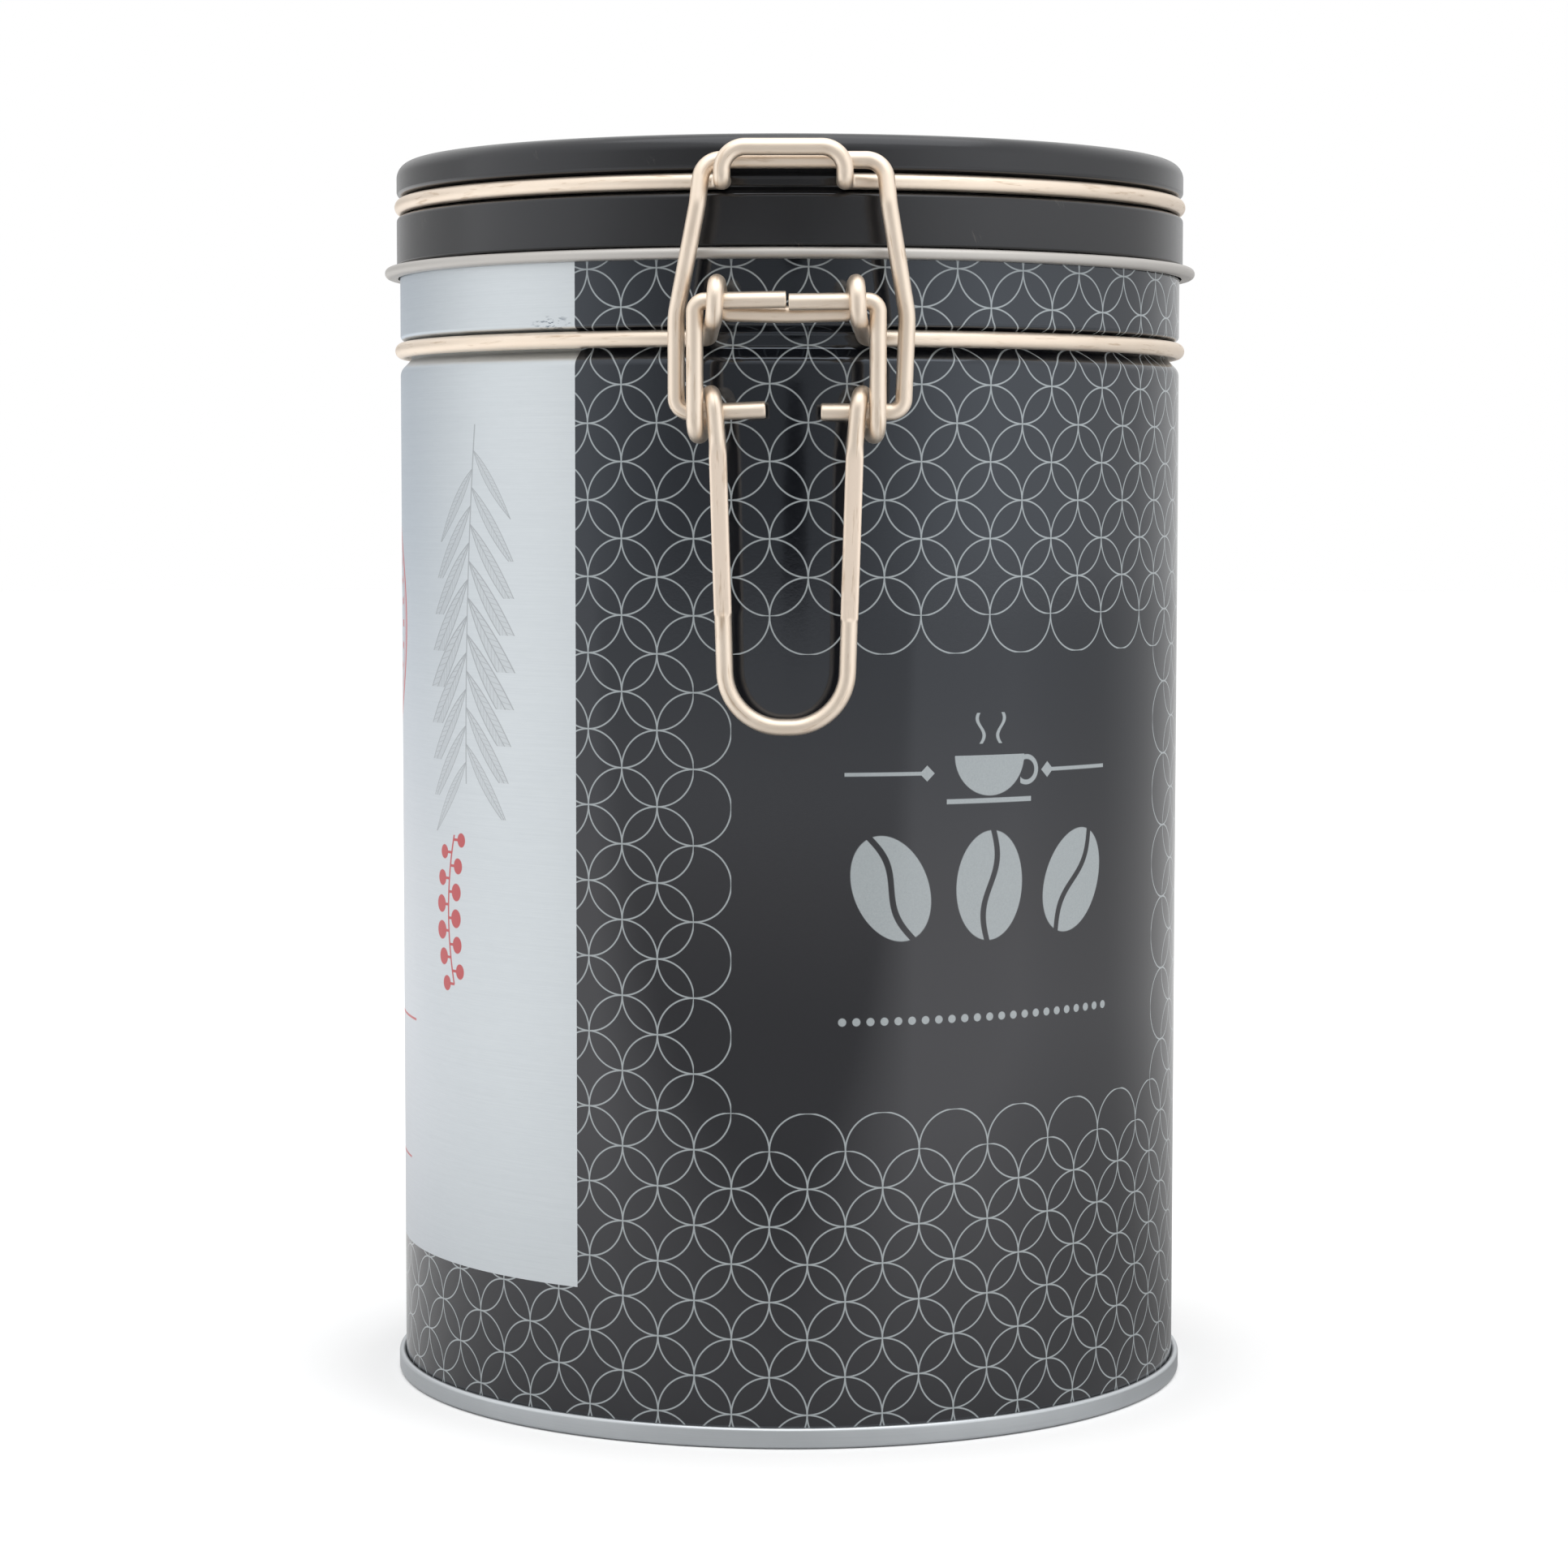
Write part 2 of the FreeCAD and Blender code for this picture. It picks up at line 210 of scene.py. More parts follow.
def fix_normals(ob):
    """Turns the mesh inside out if its volume comes out negative."""
    me = ob.data
    co = np.zeros(len(me.vertices) * 3, np.float32)
    me.vertices.foreach_get("co", co)
    co = co.reshape(-1, 3).astype(float)
    me.calc_loop_triangles()
    tri = np.zeros(len(me.loop_triangles) * 3, np.int32)
    me.loop_triangles.foreach_get("vertices", tri)
    tri = tri.reshape(-1, 3)
    a, b, c = co[tri[:, 0]], co[tri[:, 1]], co[tri[:, 2]]
    vol = np.einsum("ij,ij->i", a, np.cross(b, c)).sum() / 6
    if vol < 0:
        me.flip_normals()
    return vol


def rounded(points, radii, step=5.0):
    """Lines and tangent arcs along a polyline, as points."""
    pts = [Vector(p) for p in points]
    out = [pts[0].copy()]
    for i in range(1, len(pts) - 1):
        a, b, c = pts[i - 1], pts[i], pts[i + 1]
        d1, d2 = (b - a).normalized(), (c - b).normalized()
        turn = math.acos(max(-1.0, min(1.0, d1.dot(d2))))
        r = radii[i - 1]
        if turn < 1e-4 or r <= 0:
            out.append(b.copy())
            continue
        tl = r * math.tan(turn / 2)
        p1 = b - d1 * tl
        bis = (d2 - d1).normalized()
        centre = b + bis * (r / math.cos(turn / 2))
        u = (p1 - centre) / r
        n = max(2, int(math.ceil(math.degrees(turn) / step)))
        for k in range(n + 1):
            th = turn * k / n
            out.append(centre + (u * math.cos(th) + d1 * math.sin(th)) * r)
    out.append(pts[-1].copy())
    return out


def half_ring(p_from, p_to, z, sx, step=1.0):
    """Points of the ring circle on one side of the can."""
    a1 = math.atan2(p_from[0], -p_from[1])
    a2 = math.atan2(p_to[0], -p_to[1])
    if sx > 0:
        a1 %= 2 * math.pi
        a2 %= 2 * math.pi
    else:
        a1 = -((-a1) % (2 * math.pi))
        a2 = -((-a2) % (2 * math.pi))
    n = int(abs(a2 - a1) / math.radians(step))
    return [Vector((R_RING * math.sin(a1 + (a2 - a1) * k / n),
                    -R_RING * math.cos(a1 + (a2 - a1) * k / n), z)) for k in range(n + 1)]


def ring_entry(x, z, sign_y, d=1.7):
    a = math.asin((abs(x) + d) / R_RING)
    for _ in range(40):
        f = R_RING * math.sin(a) - d * math.cos(a) - abs(x)
        a -= f / (R_RING * math.cos(a) + d * math.sin(a))
    e = (R_RING * math.sin(a), sign_y * R_RING * math.cos(a), z)
    c = (abs(x), sign_y * (R_RING * math.cos(a) + d * math.sin(a)), z)
    return e, c


def flip(p):
    return (-p[0], p[1], p[2])


def thin(points, least=0.02, most=0.9):
    """Drops points that coincide and splits the long runs."""
    out = [points[0]]
    for p in points[1:]:
        l = (p - out[-1]).length
        if l < least:
            continue
        n = max(1, int(math.ceil(l / most)))
        q = out[-1]
        for k in range(1, n + 1):
            out.append(q.lerp(p, k / n))
    return out


def sweep(name, points, mat, sides=40, radius=WIRE, section=None, nudge=None, most=0.9, chamfer=0.16, mark=None):
    """A round wire along points, with cut ends whose edges are slightly broken. section(p, d) gives
    the radius towards direction d at p; nudge(p) moves the centre line a little."""
    pts = thin(points, most=most)
    # two extra rings near each end for the broken edge
    def with_end(ps):
        d = (ps[1] - ps[0]).normalized()
        return [ps[0], ps[0] + d * chamfer * 0.35, ps[0] + d * chamfer] + [
            p for p in ps[1:] if (p - ps[0]).length > chamfer * 1.5]
    pts = with_end(pts)
    pts = with_end(pts[::-1])[::-1]
    if nudge is not None:
        pts = [p + nudge(p) for p in pts]
    P = np.array([tuple(p) for p in pts])
    n = len(P)
    tan = np.gradient(P, axis=0)
    seg = np.diff(P, axis=0)
    seg /= np.linalg.norm(seg, axis=1, keepdims=True)
    tan[0], tan[-1] = seg[0], seg[-1]
    tan[1:-1] = seg[:-1] + seg[1:]
    tan /= np.linalg.norm(tan, axis=1, keepdims=True)
    ref = np.array([0.0, 0.0, 1.0]) if abs(tan[0][2]) < 0.9 else np.array([1.0, 0.0, 0.0])
    nrm = np.cross(tan[0], ref)
    nrm /= np.linalg.norm(nrm)
    phi = np.arange(sides) * 2 * math.pi / sides
    cs, sn = np.cos(phi), np.sin(phi)
    dist = np.concatenate([[0], np.cumsum(np.linalg.norm(np.diff(P, axis=0), axis=1))])
    verts, flat = [], []
    for i in range(n):
        if i:
            v1 = P[i] - P[i - 1]
            c1 = v1 @ v1
            nl = nrm - v1 * (2 / c1) * (v1 @ nrm)
            tl = tan[i - 1] - v1 * (2 / c1) * (v1 @ tan[i - 1])
            v2 = tan[i] - tl
            c2 = v2 @ v2
            nrm = nl if c2 < 1e-18 else nl - v2 * (2 / c2) * (v2 @ nl)
            nrm = nrm - tan[i] * (nrm @ tan[i])
            nrm /= np.linalg.norm(nrm)
        b = np.cross(tan[i], nrm)
        edge = min(dist[i], dist[-1] - dist[i])
        scale = 1.0
        if edge < chamfer * 0.2:
            scale = 1 - chamfer * 0.62 / radius
        elif edge < chamfer * 0.6:
            scale = 1 - chamfer * 0.24 / radius
        dirs = cs[:, None] * nrm + sn[:, None] * b
        rad = np.full(sides, radius * scale)
        if section is not None:
            rad = section(P[i], dirs, radius * scale)
        verts.append(P[i] + dirs * rad[:, None])
        flat.append(np.stack([np.full(sides, dist[i]), cs * radius, sn * radius], 1))
    verts = np.concatenate(verts)
    flat = np.concatenate(flat)
    i0 = np.arange(n - 1)[:, None] * sides + np.arange(sides)[None, :]
    i1 = np.arange(n - 1)[:, None] * sides + (np.arange(sides)[None, :] + 1) % sides
    quads = np.stack([i0, i1, i1 + sides, i0 + sides], -1).reshape(-1, 4)
    pressed = np.zeros((len(verts) + 2, 3))
    if mark is not None:
        pressed[:-2, 0] = np.repeat([mark(p) for p in P], sides)
    c0, c1 = len(verts), len(verts) + 1
    verts = np.concatenate([verts, P[:1] - tan[:1] * 0.015, P[-1:] + tan[-1:] * 0.015])
    flat = np.concatenate([flat, [[0, 0, 0]], [[dist[-1], 0, 0]]])
    k = np.arange(sides)
    cap0 = np.stack([np.full(sides, c0), (k + 1) % sides, k], 1)
    base = (n - 1) * sides
    cap1 = np.stack([np.full(sides, c1), base + k, base + (k + 1) % sides], 1)
    ob = build(name, verts, quads, np.concatenate([cap0, cap1]), [mat], sharp=42.0, attr={"straight": flat, "pressed": pressed})
    fix_normals(ob)
    return ob


# ------------------------------------------------------------------ node arithmetic
class Field:
    """A number that varies over a surface, with arithmetic that adds Math nodes."""

    def __init__(self, tree, out):
        self.tree, self.out = tree, out

    def op(self, kind, *rest, clamp=False):
        n = self.tree.nodes.new("ShaderNodeMath")
        n.operation = kind
        n.use_clamp = clamp
        for i, v in enumerate((self,) + rest):
            if isinstance(v, Field):
                self.tree.links.new(v.out, n.inputs[i])
            else:
                n.inputs[i].default_value = float(v)
        return Field(self.tree, n.outputs[0])

    def __add__(self, o): return self.op("ADD", o)
    __radd__ = __add__
    def __sub__(self, o): return self.op("SUBTRACT", o)
    def __rsub__(self, o): return self.op("MULTIPLY_ADD", -1.0, o)
    def __mul__(self, o): return self.op("MULTIPLY", o)
    __rmul__ = __mul__
    def __truediv__(self, o): return self.op("DIVIDE", o)
    def __abs__(self): return self.op("ABSOLUTE")
    def floor(self): return self.op("FLOOR")
    def round(self): return self.op("ROUND")
    def sin(self): return self.op("SINE")
    def cos(self): return self.op("COSINE")
    def sqrt(self): return self.op("SQRT")
    def clamp(self): return self.op("ADD", 0.0, clamp=True)
    def min(self, o): return self.op("MINIMUM", o)
    def max(self, o): return self.op("MAXIMUM", o)
    def over(self, v): return self.op("GREATER_THAN", v)
    def under(self, v): return self.op("LESS_THAN", v)
    def inside(self, soft): return self.op("MULTIPLY_ADD", -1.0 / soft, 0.5, clamp=True)
    def line(self, width, soft): return (abs(self) - width / 2).inside(soft)
    def between(self, lo, hi, soft=0.0):
        if soft:
            return (abs(self - (lo + hi) / 2) - (hi - lo) / 2).inside(soft)
        return self.over(lo) * self.under(hi)


def far(a, b):
    return (a * a + b * b).sqrt()


def material(name):
    m = bpy.data.materials.new(name)
    m.use_nodes = True
    t = m.node_tree
    t.nodes.clear()
    out = t.nodes.new("ShaderNodeOutputMaterial")
    p = t.nodes.new("ShaderNodeBsdfPrincipled")
    t.links.new(p.outputs[0], out.inputs[0])
    return m, t, p


def place(t):
    """Object coordinates in millimetres, as three fields and one vector."""
    tc = t.nodes.new("ShaderNodeTexCoord")
    sc = t.nodes.new("ShaderNodeVectorMath")
    sc.operation = "SCALE"
    sc.inputs["Scale"].default_value = 1000.0
    t.links.new(tc.outputs["Object"], sc.inputs[0])
    sp = t.nodes.new("ShaderNodeSeparateXYZ")
    t.links.new(sc.outputs[0], sp.inputs[0])
    return [Field(t, sp.outputs[i]) for i in range(3)], sc.outputs[0]


def vec(t, x, y, z):
    n = t.nodes.new("ShaderNodeCombineXYZ")
    for i, v in enumerate((x, y, z)):
        if isinstance(v, Field):
            t.links.new(v.out, n.inputs[i])
        else:
            n.inputs[i].default_value = float(v)
    return n.outputs[0]


def noise(t, vector, scale, detail=2.0, rough=0.5, distort=0.0):
    n = t.nodes.new("ShaderNodeTexNoise")
    n.inputs["Scale"].default_value = scale
    n.inputs["Detail"].default_value = detail
    n.inputs["Roughness"].default_value = rough
    n.inputs["Distortion"].default_value = distort
    t.links.new(vector, n.inputs["Vector"])
    return Field(t, n.outputs[0])


def mix(t, fac, a, b):
    """Colour a where fac is 0 and b where it is 1."""
    n = t.nodes.new("ShaderNodeMix")
    n.data_type = "RGBA"
    n.clamp_factor = True
    if isinstance(fac, Field):
        t.links.new(fac.out, n.inputs[0])
    else:
        n.inputs[0].default_value = fac
    for i, v in ((6, a), (7, b)):
        if isinstance(v, (tuple, list)):
            n.inputs[i].default_value = (*v, 1.0)
        else:
            t.links.new(v, n.inputs[i])
    return n.outputs[2]


def put(t, value, socket):
    if isinstance(value, Field):
        t.links.new(value.out, socket)
    elif isinstance(value, (float, int)):
        socket.default_value = value
    elif isinstance(value, (tuple, list)):
        socket.default_value = (*value, 1.0)
    else:
        t.links.new(value, socket)


def bump(t, height, distance, strength=1.0, normal=None):
    n = t.nodes.new("ShaderNodeBump")
    n.inputs["Strength"].default_value = strength
    n.inputs["Distance"].default_value = distance
    put(t, height, n.inputs["Height"])
    if normal is not None:
        t.links.new(normal, n.inputs["Normal"])
    return n.outputs[0]


# ------------------------------------------------------------------ printed tinplate
def sprig(X, Z, x0, z0, count, pitch, length, width, fall, lean, edge, rib=True, veins=True, taper=0.5):
    """A stem with alternate leaves, as (line work, leaf area). X, Z in mm; count cells up the stem."""
    x = X - x0
    z = Z - z0
    rise = z / (pitch * count)
    stem_x = lean * rise * rise
    side = (x - stem_x).over(0.0)
    zs = z - side * (pitch * 0.5)
    cell = (zs / pitch).floor()
    ink = None
    area = None
    ca, sa = math.cos(math.radians(fall)), math.sin(math.radians(fall))
    for k in range(0, 3):
        i = cell + float(k)
        base = i * pitch
        r2 = (base + side * (pitch * 0.5)) / (pitch * count)
        bx = lean * r2 * r2
        ok = i.between(-0.5, count - 0.5)
        size = 1.0 - taper * abs(r2 * 2.0 - 0.9)
        dx = abs(x - bx)
        dz = zs - base
        along = (dx * ca - dz * sa) / (size * length)
        across = (dx * sa + dz * ca) / size
        a = along.clamp()
        half = a * (1.0 - a) * (1.0 + (1.0 - a) * 0.6) * (width * 1.6)
        d = abs(across) - half
        on = along.between(0.0, 1.0) * ok
        leaf = d.inside(0.06) * on
        lines = d.line(edge, 0.08) * on
        if rib:
            lines = lines.max(across.line(edge * 0.8, 0.08) * leaf)
        if veins:
            s = (a * length - abs(across) * 1.3) / 1.05
            s = abs(s - s.round())
            lines = lines.max((s * 1.05 - 0.07).inside(0.10) * leaf * 0.6)
        ink = lines if ink is None else (ink * (1.0 - leaf)).max(lines)
        area = leaf if area is None else area.max(leaf)
    stem = (x - stem_x).line(edge * 1.3, 0.08) * z.between(-pitch * 0.6, pitch * (count + 0.2))
    ink = ink.max(stem * (1.0 - area))
    return ink, area


def bean(X, Z, x0, z0, a, b, tilt):
    """A coffee bean: an oval with an S-shaped split. Returns its filled area."""
    c, s = math.cos(math.radians(tilt)), math.sin(math.radians(tilt))
    x, z = X - x0, Z - z0
    u = x * c + z * s
    v = z * c - x * s
    oval = far(u / a, v / b) - 1.0
    split = (u - (v * (math.pi / b)).sin() * (a * 0.16))
    gap = (abs(split) - a * 0.085).inside(0.10)
    return (oval * min(a, b)).inside(0.10) * (1.0 - gap)


def printed():
    m, t, p = material("printed_tinplate")
    (x, y, z), pos = place(t)
    theta = x.op("ARCTAN2", y * -1.0) * (180 / math.pi) - TURN
    radius = far(x, y)
    turned = (theta + 92.0).op("WRAP", 180.0, -180.0)
    th = abs(turned) - 92.0                 # the layout is the same both ways from the panel's middle
    mirror_side = turned.under(0.0)
    X = th * (R * math.pi / 180)            # mm round the can

    # ring lattice: two families of touching circles, drawn only where a whole circle clears the window
    H = 5.186
    a = (th - 2.511) / H
    b = (z - 38.136) / 4.30
    lattice = None
    for odd_a in (True, False):
        if odd_a:
            ca = (a * 0.5).floor() * 2.0 + 1.0
            cb = (b * 0.5).round() * 2.0
        else:
            ca = (a * 0.5).round() * 2.0
            cb = (b * 0.5).floor() * 2.0 + 1.0
        hidden = ca.between(-2.5, 12.5) * cb.between(-0.5, 12.5)
        ring = ((far(a - ca, b - cb) - 1.0) * 4.30).line(0.17, 0.07) * (1.0 - hidden)
        lattice = ring if lattice is None else lattice.max(ring)

    panel = (th + 30.61).under(0.0) * z.over(17.07)
    seam = (abs(th - 88.0)).under(0.55)

    # window ornament: a cup between rules, three beans, a row of dots
    xc = 28.7 * R * math.pi / 180
    art = None
    for bx, tilt in ((-12.2, 24), (0.0, -4), (12.2, -26)):
        s = bean(X, z, xc + bx, 63.4, 4.35, 6.25, tilt)
        art = s if art is None else art.max(s)
    cx, cz = X - xc, z - 76.1
    bowl = far(cx / 4.6, (cz - 2.1) / 4.6) - 1.0
    bowl = (bowl * 4.4).inside(0.1) * cz.under(2.1)
    ear = (far(cx - 4.9, cz - 0.3) - 1.45).line(0.55, 0.1) * cx.over(4.05)
    plate = abs(cx).under(5.6) * (cz + 3.05).line(0.55, 0.1)
    steam = (abs(cx) - 1.35 - ((cz - 5.3) * 1.6).sin() * 0.45).line(0.42, 0.1) * cz.between(3.4, 6.9)
    art = art.max(bowl).max(ear).max(plate).max(steam)
    rules = (z - 76.3).line(0.42, 0.1) * abs(cx).between(8.0, 17.6)
    lozenge = (abs(abs(cx) - 8.0) + abs(z - 76.3) - 0.9).inside(0.1)
    art = art.max(rules).max(lozenge)
    dots = abs(((cx / 1.62) - (cx / 1.62).round()) * 1.62)
    dots = (far(dots, z - 48.4) - 0.46).inside(0.1) * abs(cx).under(18.7)
    art = art.max(dots)
    art = art * th.over(-7.8)

    # panel ornament: a drooping grey spray, a small red cherry sprig, thin red rules
    spray, spray_area = sprig(X, z, -43.4, 76.5, 9, 4.25, 20.5, 2.45, 50, 2.0, 0.17)
    spray_fade = ((z - 60.0) / 34.0).clamp()
    px, pz = X + 47.6, z - 50.2
    stem_x = (pz - 8.5) * (pz - 8.5) * 0.018
    stem = (px - stem_x).line(0.32, 0.1) * pz.between(0.0, 17.6)
    side = (px - stem_x).over(0.0)
    zz = pz - side * 1.55
    ci = (zz / 3.1).round()
    bz = ci * 3.1
    hz = bz + side * 1.55 - 8.5
    bx = hz * hz * 0.018
    size = 1.12 - abs(ci - 2.2) * 0.10
    dx = abs(px - bx) - 1.75
    berry = (far(dx, (zz - bz) * 1.0) - size).inside(0.1) * ci.between(-0.5, 5.3)
    twig = (abs(zz - bz - abs(px - bx) * 0.0)).under(0.16) * (abs(px - bx)).under(1.2) * ci.between(-0.5, 5.3)
    red = stem.max(berry).max(twig)
    red = red.max((z - 44.6).line(0.30, 0.08) * X.between(-92.0, -58.5))
    red = red.max((z - 27.5).line(0.26, 0.08) * X.between(-92.0, -61.5))
    # round emblem in the panel's middle
    ex, ez = turned * (R * math.pi / 180), z - 92.0
    er = far(ex, ez)
    emblem = (er - 13.2).line(0.9, 0.1).max((er - 11.9).line(0.3, 0.1))
    emblem = emblem.max(bean(ex, ez, 0.0, 0.0, 5.4, 8.0, 0))
    ray = ez.op("ARCTAN2", ex) * (24 / (2 * math.pi))
    ray = abs(ray - ray.round())
    emblem = emblem.max(ray.under(0.16) * er.between(9.6, 10.9))
    red = red.max(emblem)

    on_panel = panel * (1.0 - seam)
    ink_grey = (spray * 0.46 + spray_area * 0.13) * on_panel
    ink_red = red * on_panel
    light = lattice.max(art) * (1.0 - panel) * (1.0 - seam)

    # the brushing runs round the can; the tin's own streaks are long and very low
    brush = noise(t, vec(t, X * 0.055, z * 9.0, radius), 1.0, 3.0, 0.62)
    brush2 = noise(t, vec(t, X * 0.35, z * 2.6, 3.0), 1.0, 3.0, 0.6)
    cloud = noise(t, pos, 0.055, 3.0, 0.55)
    grain = noise(t, pos, 5.5, 2.0, 0.6)
    dust = noise(t, pos, 1.9, 3.0, 0.62)

    tin = mix(t, brush * 0.7 + brush2 * 0.3, (0.505, 0.540, 0.565), (0.660, 0.695, 0.715))
    tin = mix(t, cloud * 0.25, tin, (0.50, 0.545, 0.575))
    tin = mix(t, ink_grey, tin, (0.155, 0.160, 0.170))
    tin = mix(t, ink_red * 0.95, tin, (0.470, 0.022, 0.026))
    dark = mix(t, cloud, (0.0048, 0.0054, 0.0074), (0.0068, 0.0073, 0.0094))
    pale = mix(t, grain, (0.290, 0.322, 0.334), (0.390, 0.425, 0.436))
    dark = mix(t, light, dark, pale)
    # small rubbed specks of the lacquer where the wire ring works against the groove
    worn = noise(t, vec(t, X * 1.1, z * 2.2, 1.0), 1.0, 4.0, 0.7)
    near = (1.0 - (abs(z - 126.5) / 0.6).clamp()).max(1.0 - (abs(z - 122.3) / 0.6).clamp())
    worn = ((worn - 0.66) * 14.0).clamp() * near
    dark = mix(t, worn * 0.65 * (1.0 - panel), dark, (0.30, 0.30, 0.30))
    colour = mix(t, panel, dark, tin)
    # painted shade: a dark bluish patch on the bare panel along the top edge of the ring, where it meets the panel
    sx, sz = X + 28.6, z - 126.8
    ring_top_painted_shade = noise(t, vec(t, sx * 0.9, sz * 2.6, 7.0), 1.0, 3.0, 0.6)
    ring_top_painted_shade = ((ring_top_painted_shade - 0.52) * 12.0).clamp() * (1.0 - far(sx / 3.3, sz / 0.95)).clamp()
    colour = mix(t, ring_top_painted_shade * 1.6 * panel, colour, (0.10, 0.13, 0.17))
    colour = mix(t, seam, colour, mix(t, brush, (0.40, 0.41, 0.42), (0.60, 0.61, 0.62)))
    put(t, colour, p.inputs["Base Color"])

    metal = on_panel * (1.0 - (ink_red * 0.97).max(ink_grey * 0.5))
    metal = metal.max(seam)
    put(t, metal, p.inputs["Metallic"])
    rough = (0.060 + dust * 0.045) + panel * (0.30 + brush * 0.10) + light * 0.05
    rough = rough + seam * 0.12
    put(t, rough, p.inputs["Roughness"])
    p.inputs["IOR"].default_value = 1.65
    # painted reflection colour: the print's sheen is tinted bluer towards the top of the can
    put(t, mix(t, ((z - 62.0) / 42.0).clamp(), (0.93, 0.93, 0.97), (0.80, 0.885, 1.0)), p.inputs["Specular Tint"])
    put(t, panel * 0.35 * (1.0 - ink_red * 0.7), p.inputs["Coat Weight"])
    p.inputs["Coat Roughness"].default_value = 0.22
    relief = grain * 0.0012 + dust * 0.0022 + panel * (brush * 0.0045) + light * 0.004 + ink_red * 0.004
    put(t, bump(t, relief * 0.001, 1.0, 0.75), p.inputs["Normal"])
    return m


def lacquer():
    """Satin black lacquer of the lid: fine even texture, a few hairline scratches."""
    m, t, p = material("black_lacquer")
    (x, y, z), pos = place(t)
    grain = noise(t, pos, 7.5, 2.0, 0.65)
    fine = noise(t, pos, 17.0, 1.0, 0.5)
    cloud = noise(t, pos, 0.09, 3.0, 0.6)
    theta = x.op("ARCTAN2", y * -1.0) * (R * 1.0)
    scratch = noise(t, vec(t, theta * 0.9 + z * 0.45, z * 0.10, 4.0), 1.0, 3.0, 0.7)
    scratch = ((abs(scratch - 0.5) * -60.0) + 1.0).clamp()
    where = noise(t, vec(t, theta * 0.16, z * 0.16, 9.0), 1.0, 1.0, 0.5)
    scratch = scratch * ((where - 0.70) * 9.0).clamp()
    col = mix(t, grain * 0.6 + cloud * 0.4, (0.0060, 0.0061, 0.0066), (0.0150, 0.0151, 0.0160))
    col = mix(t, scratch * 0.5, col, (0.16, 0.15, 0.13))
    # rim edges rub a little lighter
    edge = (1.0 - (abs(z - Z_SKIRT) / 0.22).clamp()).max(1.0 - (abs(z - 147.2) / 0.16).clamp())
    wear = noise(t, vec(t, theta * 0.4, z * 1.2, 2.0), 1.0, 3.0, 0.65)
    col = mix(t, edge * ((wear - 0.52) * 6.0).clamp() * 0.30, col, (0.09, 0.09, 0.09))
    put(t, col, p.inputs["Base Color"])
    put(t, 0.13 + grain * 0.07 + cloud * 0.05, p.inputs["Roughness"])
    p.inputs["IOR"].default_value = 1.53
    p.inputs["Specular Tint"].default_value = (0.93, 0.95, 1.0, 1.0)
    put(t, bump(t, (grain * 0.0075 + fine * 0.0035 + cloud * 0.006 - scratch * 0.003) * 0.001, 1.0, 0.8), p.inputs["Normal"])
    return m


def tinplate(name, low, high, rough, brushing=1.0):
    """Bare tinplate: turned brushing round the axis, faint tin bloom."""
    m, t, p = material(name)
    (x, y, z), pos = place(t)
    r = far(x, y)
    theta = x.op("ARCTAN2", y * -1.0) * R
    streak = noise(t, vec(t, theta * 0.05, (z + r * 0.9) * 7.0, 0.0), 1.0, 3.0, 0.6)
    cloud = noise(t, pos, 0.12, 4.0, 0.6)
    grain = noise(t, pos, 4.0, 3.0, 0.6)
    col = mix(t, streak * 0.55 + cloud * 0.45, low, high)
    put(t, col, p.inputs["Base Color"])
    p.inputs["Metallic"].default_value = 1.0
    put(t, rough + streak * 0.08 + cloud * 0.05, p.inputs["Roughness"])
    put(t, bump(t, (streak * 0.004 * brushing + grain * 0.002) * 0.001, 1.0, 0.8), p.inputs["Normal"])
    return m


def nickel():
    """Warm nickel plated spring wire: drawing lines, patchy lustre, thin brown tarnish streaks."""
    m, t, p = material("nickel_wire")
    at = t.nodes.new("ShaderNodeAttribute")
    at.attribute_type = "GEOMETRY"
    at.attribute_name = "straight"
    sp = t.nodes.new("ShaderNodeSeparateXYZ")
    t.links.new(at.outputs["Vector"], sp.inputs[0])
    s, c, d = (Field(t, sp.outputs[i]) for i in range(3))
    at2 = t.nodes.new("ShaderNodeAttribute")
    at2.attribute_type = "GEOMETRY"
    at2.attribute_name = "pressed"
    sp2 = t.nodes.new("ShaderNodeSeparateXYZ")
    t.links.new(at2.outputs["Vector"], sp2.inputs[0])
    pressed = Field(t, sp2.outputs[0])
    drawn = noise(t, vec(t, s * 0.10, c * 5.5, d * 5.5), 1.0, 2.0, 0.6)
    patch = noise(t, vec(t, s * 0.16, c * 0.55, d * 0.55), 1.0, 3.0, 0.55)
    streak = noise(t, vec(t, s * 0.20, c * 1.9, d * 1.9 + 5.0), 1.0, 3.0, 0.62)
    pit = noise(t, vec(t, s * 3.2, c * 3.2, d * 3.2), 1.0, 3.0, 0.7)
    col = mix(t, patch, (0.790, 0.665, 0.540), (0.890, 0.785, 0.670))
    # painted light: the pressed flats are painted lighter than the round wire, standing in for the brighter light they
    # catch
    col = mix(t, pressed * 0.75, col, (0.930, 0.800, 0.680))
    tarnish = ((streak - 0.58) * 7.0).clamp()
    col = mix(t, tarnish * 0.50, col, (0.40, 0.265, 0.150))
    specks = ((pit - 0.70) * 14.0).clamp()
    col = mix(t, specks * 0.35, col, (0.25, 0.17, 0.11))
    put(t, col, p.inputs["Base Color"])
    p.inputs["Metallic"].default_value = 1.0
    put(t, 0.385 + patch * 0.08 + tarnish * 0.06 + specks * 0.1 + pressed * 0.12, p.inputs["Roughness"])
    put(t, bump(t, (drawn * 0.006 + patch * 0.02 - specks * 0.01) * 0.001, 1.0, 0.8), p.inputs["Normal"])
    return m


